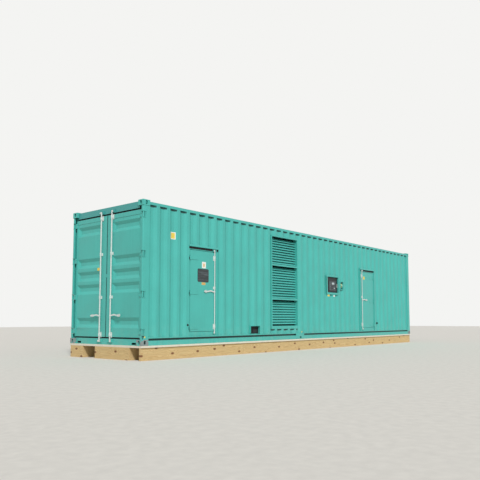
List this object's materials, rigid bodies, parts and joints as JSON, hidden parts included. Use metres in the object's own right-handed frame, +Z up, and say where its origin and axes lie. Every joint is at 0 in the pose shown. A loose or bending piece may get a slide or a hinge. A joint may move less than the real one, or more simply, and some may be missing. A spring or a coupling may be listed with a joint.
{
  "type": "containerised silent generator set",
  "caption": "Shipping-container generator enclosure on timber packing, with hinged end doors, side access doors with lock rods, a louvred air inlet and a recessed control window.",
  "frame": {"origin": "middle of the footprint at the underside of the timber packing", "axes": "+X along the length away from the cargo doors, -Y towards the side with the personnel doors, +Z up"},
  "size_m": [12.192, 2.44, 3.186],
  "materials": {
    "container_paint": "satin turquoise paint",
    "galvanised_steel": "galvanised, pale grey",
    "pine_timber": "sawn pine with knots",
    "pale_board": "pale board",
    "acoustic_lining": "dark faced mineral wool",
    "dark_panel": "dark instrument panel",
    "dark_window": "dark glazed pane",
    "black_rubber": "matte"
  },
  "bodies": {
    "container": {"side_timbers": "pine_timber", "timber_blocks": "pine_timber", "bearing_boards": "pale_board", "bottom_castings": "container_paint", "top_castings": "container_paint", "door_end_posts": "container_paint", "far_end_posts": "container_paint", "door_sill": "container_paint", "door_header": "container_paint", "far_end_rails": "container_paint", "bottom_rails": "container_paint", "top_rails": "container_paint", "cross_members": "container_paint", "floor_deck": "container_paint", "roof_sheet": "container_paint", "front_wall_door_bay": "container_paint", "front_wall_louvre_bay": "container_paint", "front_wall_control_bay": "container_paint", "front_wall_far_bay": "container_paint", "over_door_panels": "container_paint", "rail_joint_plates": "container_paint", "back_wall": "container_paint", "far_end_wall": "container_paint", "louvre_front": "container_paint", "louvre_back": "container_paint", "louvre_far_end": "container_paint", "door_frame_1": "container_paint", "door_frame_2": "container_paint", "rain_hoods": "container_paint", "control_window": "container_paint", "control_panel": "dark_panel", "stop_box": "dark_panel", "cable_recess": "container_paint", "door_buffers": "black_rubber", "front_lining": "acoustic_lining", "back_lining": "acoustic_lining", "end_lining": "acoustic_lining", "ceiling_lining": "acoustic_lining"},
    "cargo_door_right": {"cargo_door_right": "container_paint", "cargo_guides_right": "galvanised_steel"},
    "cargo_door_left": {"cargo_door_left": "container_paint", "cargo_guides_left": "galvanised_steel"},
    "cargo_lock_right": {"cargo_lock_right": "galvanised_steel"},
    "cargo_lock_left": {"cargo_lock_left": "galvanised_steel"},
    "personnel_door_1": {"personnel_door_1": "container_paint", "personnel_core_1": "acoustic_lining", "door_1_window": "dark_window", "personnel_guides_1": "galvanised_steel"},
    "personnel_door_2": {"personnel_door_2": "container_paint", "personnel_core_2": "acoustic_lining", "personnel_guides_2": "galvanised_steel"},
    "personnel_lock_1": {"personnel_lock_1": "galvanised_steel"},
    "personnel_lock_2": {"personnel_lock_2": "galvanised_steel"}
  },
  "joints": [
    {"name": "cargo_door_right_hinge", "type": "hinge", "parent": "container", "child": "cargo_door_right", "pos_m": [-6.072, -1.204, 1.69], "axis": [0, 0, 1], "range_deg": [0, 260]},
    {"name": "cargo_door_left_hinge", "type": "hinge", "parent": "container", "child": "cargo_door_left", "pos_m": [-6.072, 1.204, 1.69], "axis": [0, 0, -1], "range_deg": [0, 260]},
    {"name": "cargo_lock_right_turn", "type": "hinge", "parent": "cargo_door_right", "child": "cargo_lock_right", "pos_m": [-6.074, -0.181, 1.69], "axis": [0, 0, 1], "range_deg": [-90, 0]},
    {"name": "cargo_lock_left_turn", "type": "hinge", "parent": "cargo_door_left", "child": "cargo_lock_left", "pos_m": [-6.074, 0.181, 1.69], "axis": [0, 0, -1], "range_deg": [-90, 0]},
    {"name": "personnel_door_1_hinge", "type": "hinge", "parent": "container", "child": "personnel_door_1", "pos_m": [-4.8, -1.21, 1.39], "axis": [0, 0, -1], "range_deg": [0, 95]},
    {"name": "personnel_door_2_hinge", "type": "hinge", "parent": "container", "child": "personnel_door_2", "pos_m": [3.418, -1.21, 1.39], "axis": [0, 0, 1], "range_deg": [0, 165]},
    {"name": "personnel_lock_1_turn", "type": "hinge", "parent": "personnel_door_1", "child": "personnel_lock_1", "pos_m": [-4.041, -1.206, 1.39], "axis": [0, 0, -1], "range_deg": [-90, 0]},
    {"name": "personnel_lock_2_turn", "type": "hinge", "parent": "personnel_door_2", "child": "personnel_lock_2", "pos_m": [2.659, -1.206, 1.39], "axis": [0, 0, 1], "range_deg": [-90, 0]}
  ]
}
